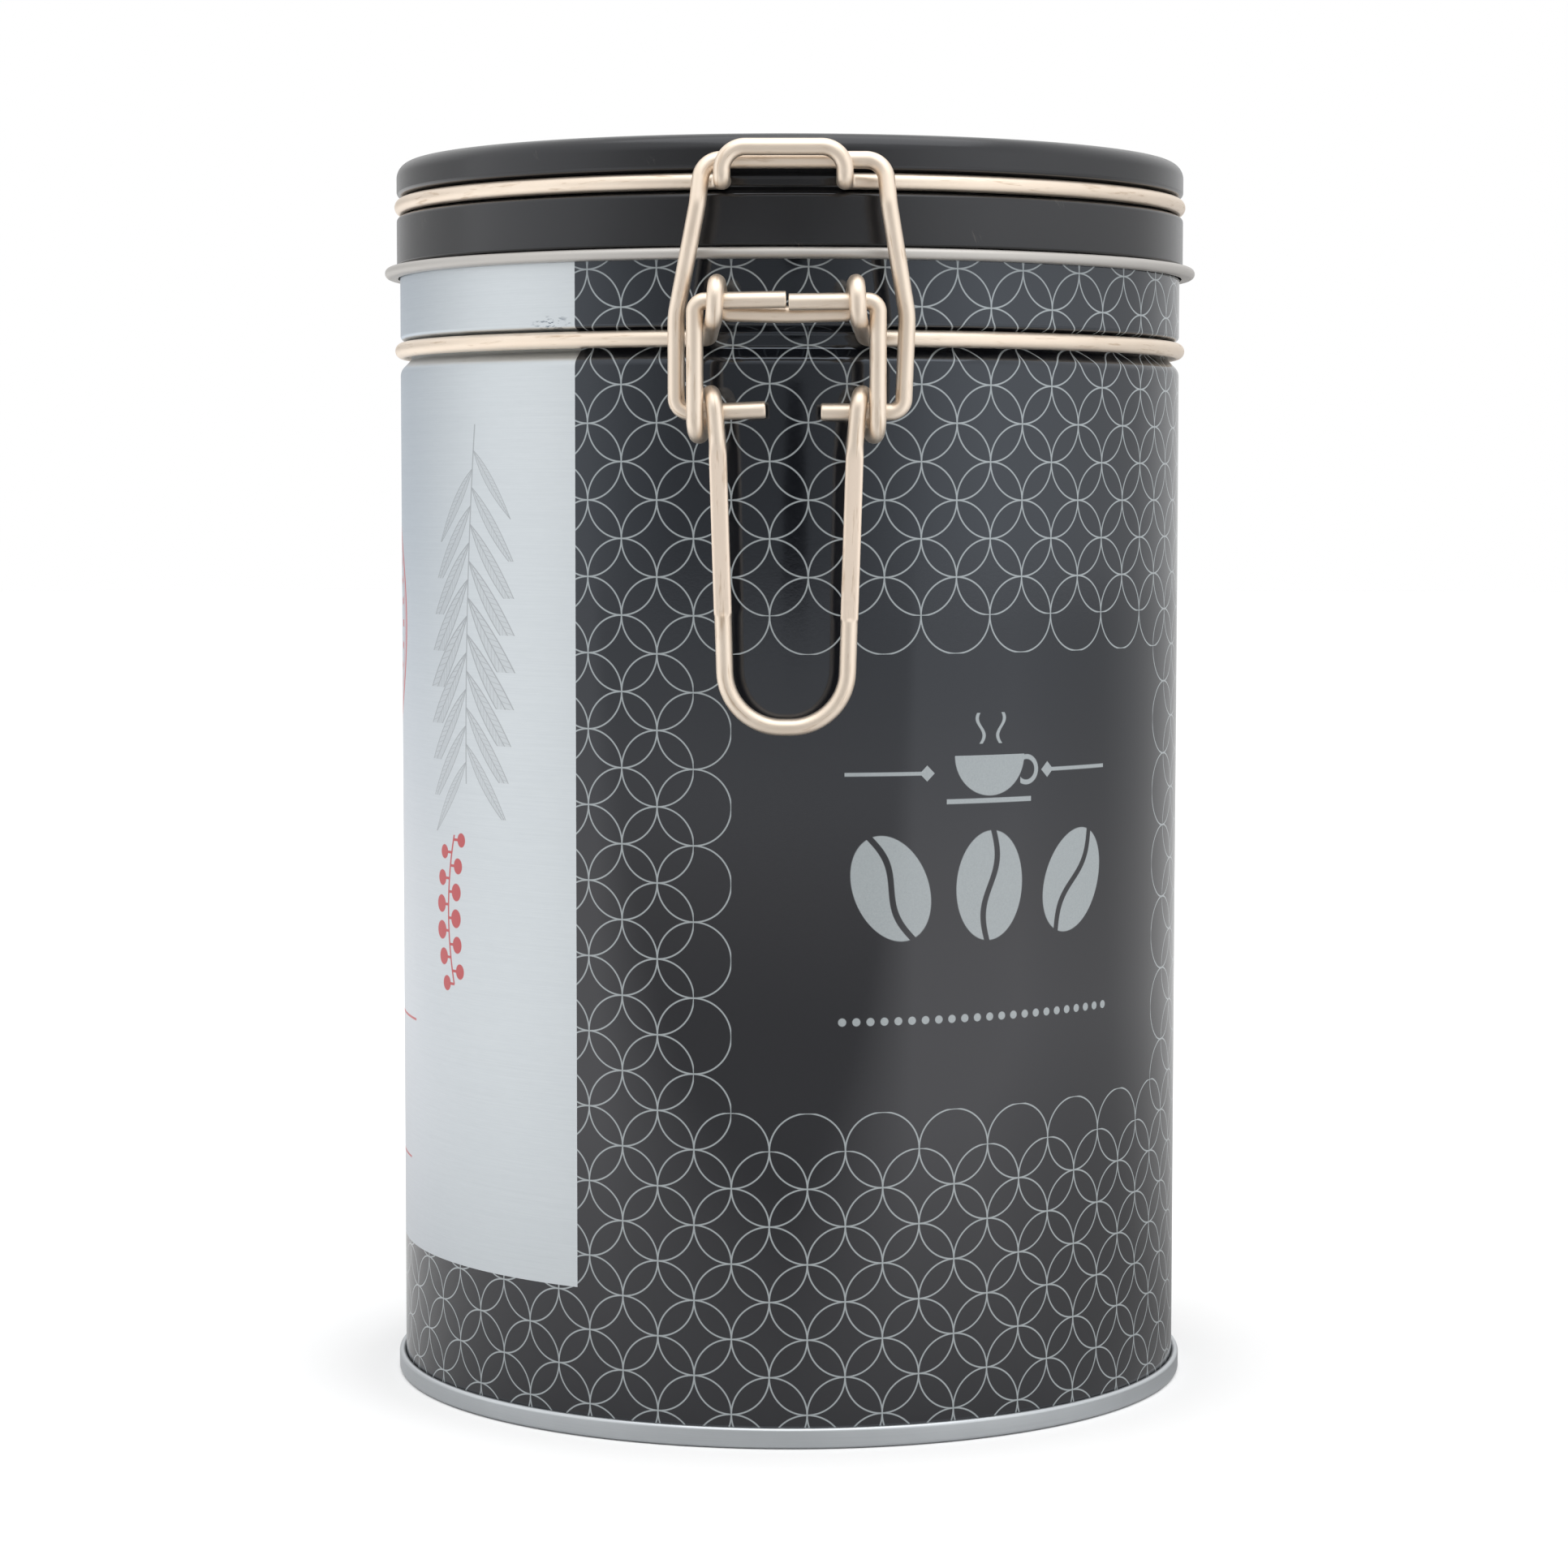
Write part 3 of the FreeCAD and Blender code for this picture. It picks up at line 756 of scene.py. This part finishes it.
def silicone():
    m, t, p = material("silicone")
    (x, y, z), pos = place(t)
    n1 = noise(t, pos, 0.4, 3.0, 0.6)
    n2 = noise(t, pos, 6.0, 2.0, 0.6)
    put(t, mix(t, n1, (0.66, 0.67, 0.66), (0.80, 0.81, 0.80)), p.inputs["Base Color"])
    put(t, 0.42 + n2 * 0.14, p.inputs["Roughness"])
    p.inputs["Subsurface Weight"].default_value = 0.25
    p.inputs["Subsurface Radius"].default_value = (0.002, 0.002, 0.002)
    p.inputs["Subsurface Scale"].default_value = 0.6
    put(t, bump(t, (n2 * 0.004) * 0.001, 1.0, 0.8), p.inputs["Normal"])
    return m


def compound():
    m, t, p = material("sealing_compound")
    (x, y, z), pos = place(t)
    n1 = noise(t, pos, 1.5, 4.0, 0.6)
    put(t, mix(t, n1, (0.10, 0.10, 0.095), (0.20, 0.20, 0.19)), p.inputs["Base Color"])
    put(t, 0.55 + n1 * 0.2, p.inputs["Roughness"])
    put(t, bump(t, n1 * 0.00002, 1.0, 0.8), p.inputs["Normal"])
    return m


PRINT = printed()
BLACK = lacquer()
INNER = tinplate("inside_lacquer", (0.560, 0.545, 0.500), (0.680, 0.665, 0.620), 0.30)
SEAM = tinplate("base_tinplate", (0.480, 0.508, 0.530), (0.630, 0.655, 0.675), 0.30)
ROLL = tinplate("collar_tinplate", (0.480, 0.462, 0.440), (0.590, 0.572, 0.548), 0.46, 0.5)
NICKEL = nickel()
RUBBER = silicone()
FILLER = compound()

# ------------------------------------------------------------------ can
rb = R - HT


def wall_wave(ang, z, r):
    """Rolled sheet is never quite round: a few hundredths of a millimetre."""
    k = max(0.0, min(1.0, (z - 6) / 20)) * max(0.0, min(1.0, (120 - z) / 20))
    return k * (0.010 * np.cos(3 * ang + 0.8 + z * 0.010) + 0.007 * np.cos(5 * ang + 2.1 - z * 0.02)
                + 0.004 * np.cos(9 * ang + 0.3 + z * 0.035))


outline, side = sheet_section(
    [(R + 0.42, 1.85), (R + 0.42, 0.62), (rb, 0.62), (rb, 122.40),
     (R_GROOVE, 123.80), (R_GROOVE, 125.70), (rb, 126.40),
     (rb, 134.20), (R + 1.22, 134.20)],
    [0.274, 0.274, 1.3, 1.05, 0.80, 0.45, 0.30])
wall = lathe("can_wall", outline, side, [INNER, PRINT], wave=wall_wave)
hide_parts("body_shell")
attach(wall, "can")

outline, side = sheet_section(
    [(0.0, 3.70), (29.0, 3.70), (30.3, 3.05), (37.0, 3.05), (38.3, 2.45),
     (R - 0.41, 2.45), (R - 0.41, HT), (R + 0.70, HT), (R + 0.70, Z_SEAM - HT),
     (R + 0.14, Z_SEAM - HT), (R + 0.14, 0.95)],
    [1.2, 1.2, 1.2, 1.2, 0.7, 0.35, 0.35, 0.279, 0.279])
base = lathe("can_base", outline, side, [INNER, SEAM])
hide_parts("base_end")
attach(base, "can")

outline, side = sheet_section(
    [(R + 0.26, Z_CURL_LO + HT), (R_CURL - HT, Z_CURL_LO + HT),
     (R_CURL - HT, Z_CURL_HI - HT), (R_NECK, Z_CURL_HI - HT),
     (R_NECK, Z_NECK - HT), (R_NECK - 0.90, Z_NECK - HT),
     (R_NECK - 0.90, Z_NECK - 1.35)],
    [0.48, 0.48, 0.60, 0.44, 0.44])
collar = lathe("can_collar", outline, side, [INNER, ROLL])
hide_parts("neck_collar")
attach(collar, "can")

for node in ("base_seam_sealant", "collar_seam_sealant"):
    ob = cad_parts[node]
    if not ob.data.materials:
        ob.data.materials.append(None)
    for slot_ in ob.material_slots:
        slot_.link = "OBJECT"
        slot_.material = FILLER

# ------------------------------------------------------------------ lid
rs = R_SKIRT - HT
outline, side = sheet_section(
    [(0.0, 146.62), (R - 8.6, 146.62), (R - 7.6, Z_TOP - HT), (rs, Z_TOP - HT),
     (rs, Z_LID_GROOVE + 1.50), (R_GROOVE, Z_LID_GROOVE + 0.80),
     (R_GROOVE, Z_LID_GROOVE - 0.80), (rs, Z_LID_GROOVE - 1.50),
     (rs, Z_SKIRT + HT), (rs - 0.44, Z_SKIRT + HT), (rs - 0.44, Z_SKIRT + 1.5)],
    [1.0, 1.0, 1.75, 0.45, 0.80, 0.80, 0.45, 0.218, 0.218])
lid = lathe("lid_cap", outline, [1 - s for s in side], [INNER, BLACK])
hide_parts("lid_shell")
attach(lid, "lid")

g_out, g_in, g_top = rs - HT - 0.05, R - 4.71, Z_TOP - T - 0.02
seal = [(g_in, 145.15), (g_in + 0.12, 144.95), (g_in + 0.42, 144.62), (g_in + 0.60, Z_NECK + 0.05),
        (g_out - 0.20, Z_NECK + 0.05), (g_out - 0.06, Z_NECK + 0.10), (g_out, Z_NECK + 0.25),
        (g_out, 145.60), (g_out - 0.24, 146.12), (g_out - 0.72, 146.66), (g_out - 1.22, 147.04), (R - 1.45, g_top),
        (g_in + 0.20, g_top), (g_in + 0.06, g_top - 0.06), (g_in, g_top - 0.20)]
gasket = lathe("lid_seal", seal, [0] * len(seal), [RUBBER])
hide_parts("lid_gasket")
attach(gasket, "lid")

# ------------------------------------------------------------------ wires
e_hl, c_hl = (flip(p) for p in ring_entry(XH_L, Z_LID_GROOVE, -1))
e_hr, c_hr = ring_entry(XH_R, Z_LID_GROOVE, -1)
X_LEG = 8.75
e_leg, c_leg = ring_entry(X_LEG, Z_LID_GROOVE, 1)
z_leg = Z_LID_GROOVE - HOOK_DROP
hook = rounded(
    [e_hl, c_hl, (-XH_L, -U_HOOK, z_leg), (-XH_L, -U_HOOK, Z_HOOK),
     (XH_R, -U_HOOK, Z_HOOK), (XH_R, -U_HOOK, z_leg), c_hr, e_hr],
    [1.4, 1.05, 2.55, 2.55, 1.05, 1.4])
eye_in, eye_out = Y_H - EYE, Y_H + EYE
rear_eye = [e_leg, c_leg, (X_LEG, eye_in, Z_LID_GROOVE), (X_LEG, eye_in, Z_H - EYE),
            (7.95, eye_out, Z_H - EYE), (7.30, eye_out, Z_H + EYE),
            (6.62, eye_in, Z_H + EYE), (6.45, eye_in, Z_H - 0.6)]
r_eye = [1.4, 1.3, 1.9, 1.9, 1.9, 1.9]
lid_line = (rounded([flip(p) for p in rear_eye][::-1], r_eye[::-1])
            + half_ring(flip(e_leg), e_hl, Z_LID_GROOVE, -1)
            + hook
            + half_ring(e_hr, e_leg, Z_LID_GROOVE, 1)
            + rounded(rear_eye, r_eye))
lid_wire = sweep("lid_hook_wire", lid_line, NICKEL)
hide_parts("lid_ring_wire")
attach(lid_wire, "lid")

X_IN, X_POST = 8.70, 11.70
e_eye, c_eye = ring_entry(X_IN, Z_BODY_GROOVE, -1)
e_post, c_post = ring_entry(X_POST, Z_BODY_GROOVE, 1)
front = [e_eye, c_eye, (8.30, -(R + 3.10), 125.90), (7.86, -(U_P + EYE), Z_P - EYE),
         (7.70, -(U_P + EYE), Z_P + EYE), (7.50, -(U_P - EYE), Z_P + EYE),
         (7.28, -(U_P - EYE), 127.50)]
r_front = [1.4, 2.0, 1.75, 1.85, 1.85]
path_front = rounded(
    [flip(p) for p in front] + [(0.0, -(U_P - EYE), 127.30)] + front[::-1],
    r_front + [1.20, 40.0, 1.20] + r_front[::-1])
post = [e_post, c_post, (X_POST, Y_H, Z_BODY_GROOVE), (X_POST, Y_H, Z_H), (0.06, Y_H, Z_H)]
r_post = [1.4, 1.6, 1.5]
ring_line = (rounded([flip(p) for p in post][::-1], r_post[::-1])
             + half_ring(flip(e_post), flip(e_eye), Z_BODY_GROOVE, -1)
             + path_front
             + half_ring(e_eye, e_post, Z_BODY_GROOVE, 1)
             + rounded(post, r_post))
ring_wire = sweep("can_ring_wire", ring_line, NICKEL)
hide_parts("body_ring_wire")
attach(ring_wire, "can")

# lever, with the pressed flats of its handle
C_UP, C_LOW, C_IN = 2 * WIRE + 0.07, 2.55, 2.10
X_E_TOP, X_E_BOT, Z_BEND, U_TIP = 7.55, 6.60, 88.5, R + 4.40


def u_at(z):
    return U_P + (U_TIP - U_P) * (113.5 - z) / (113.5 - 81.9)


lever_half = [
    (0.04, -U_P, Z_P), (X_C, -U_P, Z_P), (X_C, -U_P, Z_B - C_LOW),
    (9.30, -(U_B - C_IN), Z_B - C_LOW), (8.70, -(U_B - C_IN), Z_B + C_UP),
    (8.02, -U_P, Z_B + C_UP), (X_E_TOP, -U_P, 113.2), (X_E_BOT, -u_at(Z_BEND - 6.6), Z_BEND - 6.6)]
r_half = [1.2, 1.9, 1.9, 1.85, 1.85, 8.0]
lever_line = rounded([flip(p) for p in lever_half] + lever_half[::-1], r_half + [6.30, 6.30] + r_half[::-1])
FLAT = {-1: (112.6, 94.35), 1: (112.3, 93.75)}


def smooth(x):
    x = max(0.0, min(1.0, x))
    return x * x * (3 - 2 * x)


def leg_press(p):
    """How far the wire is pressed flat at p, from 0 to 1."""
    if p[2] > 113.6 or p[2] < 90.0 or p[1] > -(U_P - 1.2):
        return 0.0
    top, low = FLAT[-1 if p[0] < 0 else 1]
    return smooth((top - p[2]) / 2.0 + 0.5) * smooth((p[2] - low) / 0.30 + 0.5)


def leg_section(p, dirs, r):
    """Round wire, pressed nearly square in section along the handle's two legs."""
    k = leg_press(p)
    if k <= 0:
        return np.full(len(dirs), r)
    top, low = FLAT[-1 if p[0] < 0 else 1]
    s = -1 if p[0] < 0 else 1
    d = np.array([s * (X_E_BOT - X_E_TOP), -(U_TIP - U_P), -(113.5 - 81.9)])
    d /= np.linalg.norm(d)
    across = np.array([1.0, 0, 0]) - d * d[0]
    across /= np.linalg.norm(across)
    depth = np.cross(d, across)
    # the tool's own step at the low end is a little deeper than the flat
    deep = 0.035 * smooth((low + 1.9 - p[2]) / 0.12 + 0.5)
    w, h = 0.985, 0.84 - deep
    a, b = np.abs(dirs @ across), np.abs(dirs @ depth)
    n = 5.0
    rect = ((a / w) ** n + (b / h) ** n) ** (-1 / n)
    return r * (1 - k) + rect * k


def bar_nudge(p):
    """The two halves of the pivot bar don't quite meet in line."""
    if abs(p[2] - Z_P) < 0.01 and abs(p[0]) < X_C - 1.0:
        k = (X_C - 1.0 - abs(p[0])) / (X_C - 1.0)
        return Vector((0, 0, (0.15 if p[0] < 0 else -0.12) * k))
    return Vector((0, 0, 0))


lever = sweep("lever_handle_wire", lever_line, NICKEL, sides=48, section=leg_section, nudge=bar_nudge, most=0.22, chamfer=0.10,
              mark=leg_press)
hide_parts("lever_wire")
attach(lever, "lever")

X_L, X_R = -12.16, 13.28
bail_line = rounded(
    [(-2.3, -U_B, Z_B), (X_L + 0.02, -U_B, Z_B), (X_L, -(R + 3.30), 127.2),
     (-9.80, -(R + 3.30), 139.4), (-9.25, -U_BAR, Z_BAR), (10.75, -U_BAR, Z_BAR),
     (11.25, -(R + 3.30), 139.4), (X_R, -(R + 3.30), 127.2), (X_R - 0.40, -U_B, Z_B),
     (3.8, -U_B, Z_B)],
    [1.5, 9.0, 3.0, 2.3, 2.3, 3.0, 9.0, 1.5])


def stub_nudge(p):
    """The left stub rises a little towards its cut end."""
    if abs(p[2] - Z_B) < 0.01 and abs(p[1] + U_B) < 0.01 and -7.6 < p[0] < 0:
        return Vector((0, 0, 0.24 * ((p[0] + 7.6) / 5.3)))
    return Vector((0, 0, 0))


bail = sweep("bail_loop_wire", bail_line, NICKEL, sides=48, nudge=stub_nudge, most=0.4)
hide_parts("bail_wire")
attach(bail, "bail")

# ------------------------------------------------------------------ floor
ring_r = [0.0, 0.06, 0.12, 0.25, 0.5, 1.0, 2.0, 4.0]
verts, faces = [(0, 0, 0)], []
seg = 96
for r in ring_r[1:]:
    verts += [(r * math.cos(2 * math.pi * k / seg), r * math.sin(2 * math.pi * k / seg), -0.00002) for k in range(seg)]
verts[0] = (0, 0, -0.00002)
for k in range(seg):
    faces.append((0, 1 + k, 1 + (k + 1) % seg))
for i in range(len(ring_r) - 2):
    for k in range(seg):
        a0, a1 = 1 + i * seg + k, 1 + i * seg + (k + 1) % seg
        faces.append((a0, a0 + seg, a1 + seg, a1))
fm = bpy.data.meshes.new("floor")
fm.from_pydata(verts, [], faces)
floor = bpy.data.objects.new("floor", fm)
bpy.context.scene.collection.objects.link(floor)
m, t, p = material("floor_paper")
(x, y, z), pos = place(t)
f1 = noise(t, pos, 0.8, 3.0, 0.6)
# painted shade: rays other than the camera's see the floor darker, most near the can, in front of it and towards its
# right-back; camera rays see it evenly pale
reach = far(x, y)
away = ((reach - 60.0) / 340.0).clamp()
back = ((x * 0.8 + y) / reach.max(1.0)).clamp()
front = ((y * -1.0 - (x * 1.3).max(x * -0.62) - 40.0) * 0.006).clamp()
front = front * (1.0 - ((reach - 420.0) / 600.0).clamp() * 0.55)
lens = t.nodes.new("ShaderNodeLightPath")
lens = Field(t, lens.outputs["Is Camera Ray"])
painted_floor_shade = ((0.36 + away * 0.34) * (1.62 - back * 0.78)).min(0.94) * (1.0 - front * 0.62)
tone = painted_floor_shade * (1.0 - lens) + (0.945 + f1 * 0.01) * lens
put(t, vec(t, tone, tone, tone), p.inputs["Base Color"])
p.inputs["Roughness"].default_value = 0.9
p.inputs["Specular IOR Level"].default_value = 0.1
fm.materials.append(m)

# ------------------------------------------------------------------ camera
D, HC, F_PX = 496.48, 107.71, 4962.83
PITCH, ROLL, YAW = 0.07207205, 0.00084788, -0.00132271
cp, sp_ = math.cos(PITCH), math.sin(PITCH)
fwd = Vector((math.sin(YAW) * cp, math.cos(YAW) * cp, -sp_))
right = Vector((math.cos(YAW), -math.sin(YAW), 0))
up = right.cross(fwd)
r2 = right * math.cos(ROLL) + up * math.sin(ROLL)
u2 = up * math.cos(ROLL) - right * math.sin(ROLL)
turn = Matrix.Rotation(math.radians(TURN), 4, "Z")
m4 = Matrix((
    (r2.x, u2.x, -fwd.x, 0.0),
    (r2.y, u2.y, -fwd.y, -D * MM),
    (r2.z, u2.z, -fwd.z, HC * MM),
    (0, 0, 0, 1)))
cam_data = bpy.data.cameras.new("camera")
cam_data.sensor_width = 36.0
cam_data.sensor_fit = "HORIZONTAL"
cam_data.lens = F_PX / 1932 * 36.0
cam_data.clip_start = 0.01
cam_data.clip_end = 50
cam = bpy.data.objects.new("camera", cam_data)
bpy.context.scene.collection.objects.link(cam)
cam.matrix_world = turn @ m4
bpy.context.scene.camera = cam

# ------------------------------------------------------------------ light
world = bpy.data.worlds.new("tent")
bpy.context.scene.world = world
world.use_nodes = True
t = world.node_tree
t.nodes.clear()
out = t.nodes.new("ShaderNodeOutputWorld")
bg = t.nodes.new("ShaderNodeBackground")
t.links.new(bg.outputs[0], out.inputs[0])
tc = t.nodes.new("ShaderNodeTexCoord")
sp = t.nodes.new("ShaderNodeSeparateXYZ")
t.links.new(tc.outputs["Generated"], sp.inputs[0])
wx, wy, wz = (Field(t, sp.outputs[i]) for i in range(3))
az = wx.op("ARCTAN2", wy * -1.0) * (180 / math.pi)
el = wz.op("ARCSINE") * (180 / math.pi)
ramp = t.nodes.new("ShaderNodeValToRGB")
ramp.color_ramp.interpolation = "LINEAR"
stops = [(-180, 0.64), (-140, 0.58), (-120, 0.70), (-109, 0.84), (-103, 1.24), (-80, 1.24), (-60, 1.08),
         (-45, 0.70), (-32, 0.47), (-18, 0.40), (0, 0.39), (14, 0.50), (28, 0.82), (44, 1.22), (60, 1.42), (80, 1.26),
         (100, 1.00), (120, 0.74), (140, 0.78), (180, 0.70)]
els = ramp.color_ramp.elements
while len(els) > 1:
    els.remove(els[-1])
for i, (deg, v) in enumerate(stops):
    e = els[0] if i == 0 else els.new((deg + 180) / 360)
    e.position = (deg + 180) / 360
    e.color = (v / 2, v / 2, v / 2, 1)
put(t, (az + 180.0) / 360.0, ramp.inputs[0])
rgb = t.nodes.new("ShaderNodeSeparateColor")
t.links.new(ramp.outputs[0], rgb.inputs[0])
level = Field(t, rgb.outputs[0]) * 2.0
top_k = ((el - 9.0) / 26.0).clamp()
level = level * (1.0 - top_k) + top_k * 1.16
# the dark opening that the camera looks through
hole = (far((az - 1.9) / 4.1, (el + 1.6) / 3.8) - 1.0)
hole = (hole * -4.0).clamp()
level = level * (1.0 - hole * 0.97)
lp = t.nodes.new("ShaderNodeLightPath")
seen = Field(t, lp.outputs["Is Camera Ray"])
level = level * (1.0 - seen) + seen * 1.0
put(t, level, bg.inputs["Strength"])
bg.inputs["Color"].default_value = (1, 1, 1, 1)


def softbox(name, where, at, size, power, tint=(1, 1, 1)):
    d = bpy.data.lights.new(name, "AREA")
    d.shape = "RECTANGLE"
    d.size, d.size_y = size
    d.energy = power
    d.color = tint
    o = bpy.data.objects.new(name, d)
    bpy.context.scene.collection.objects.link(o)
    o.location = where
    o.rotation_euler = (Vector(at) - Vector(where)).to_track_quat("-Z", "Y").to_euler()
    o.visible_camera = False
    return o


softbox("top_soft", (0.1, -0.25, 1.1), (0, 0, 0.05), (1.2, 1.2), 5.2)

scene = bpy.context.scene
scene.view_settings.view_transform = "Standard"
scene.view_settings.look = "None"
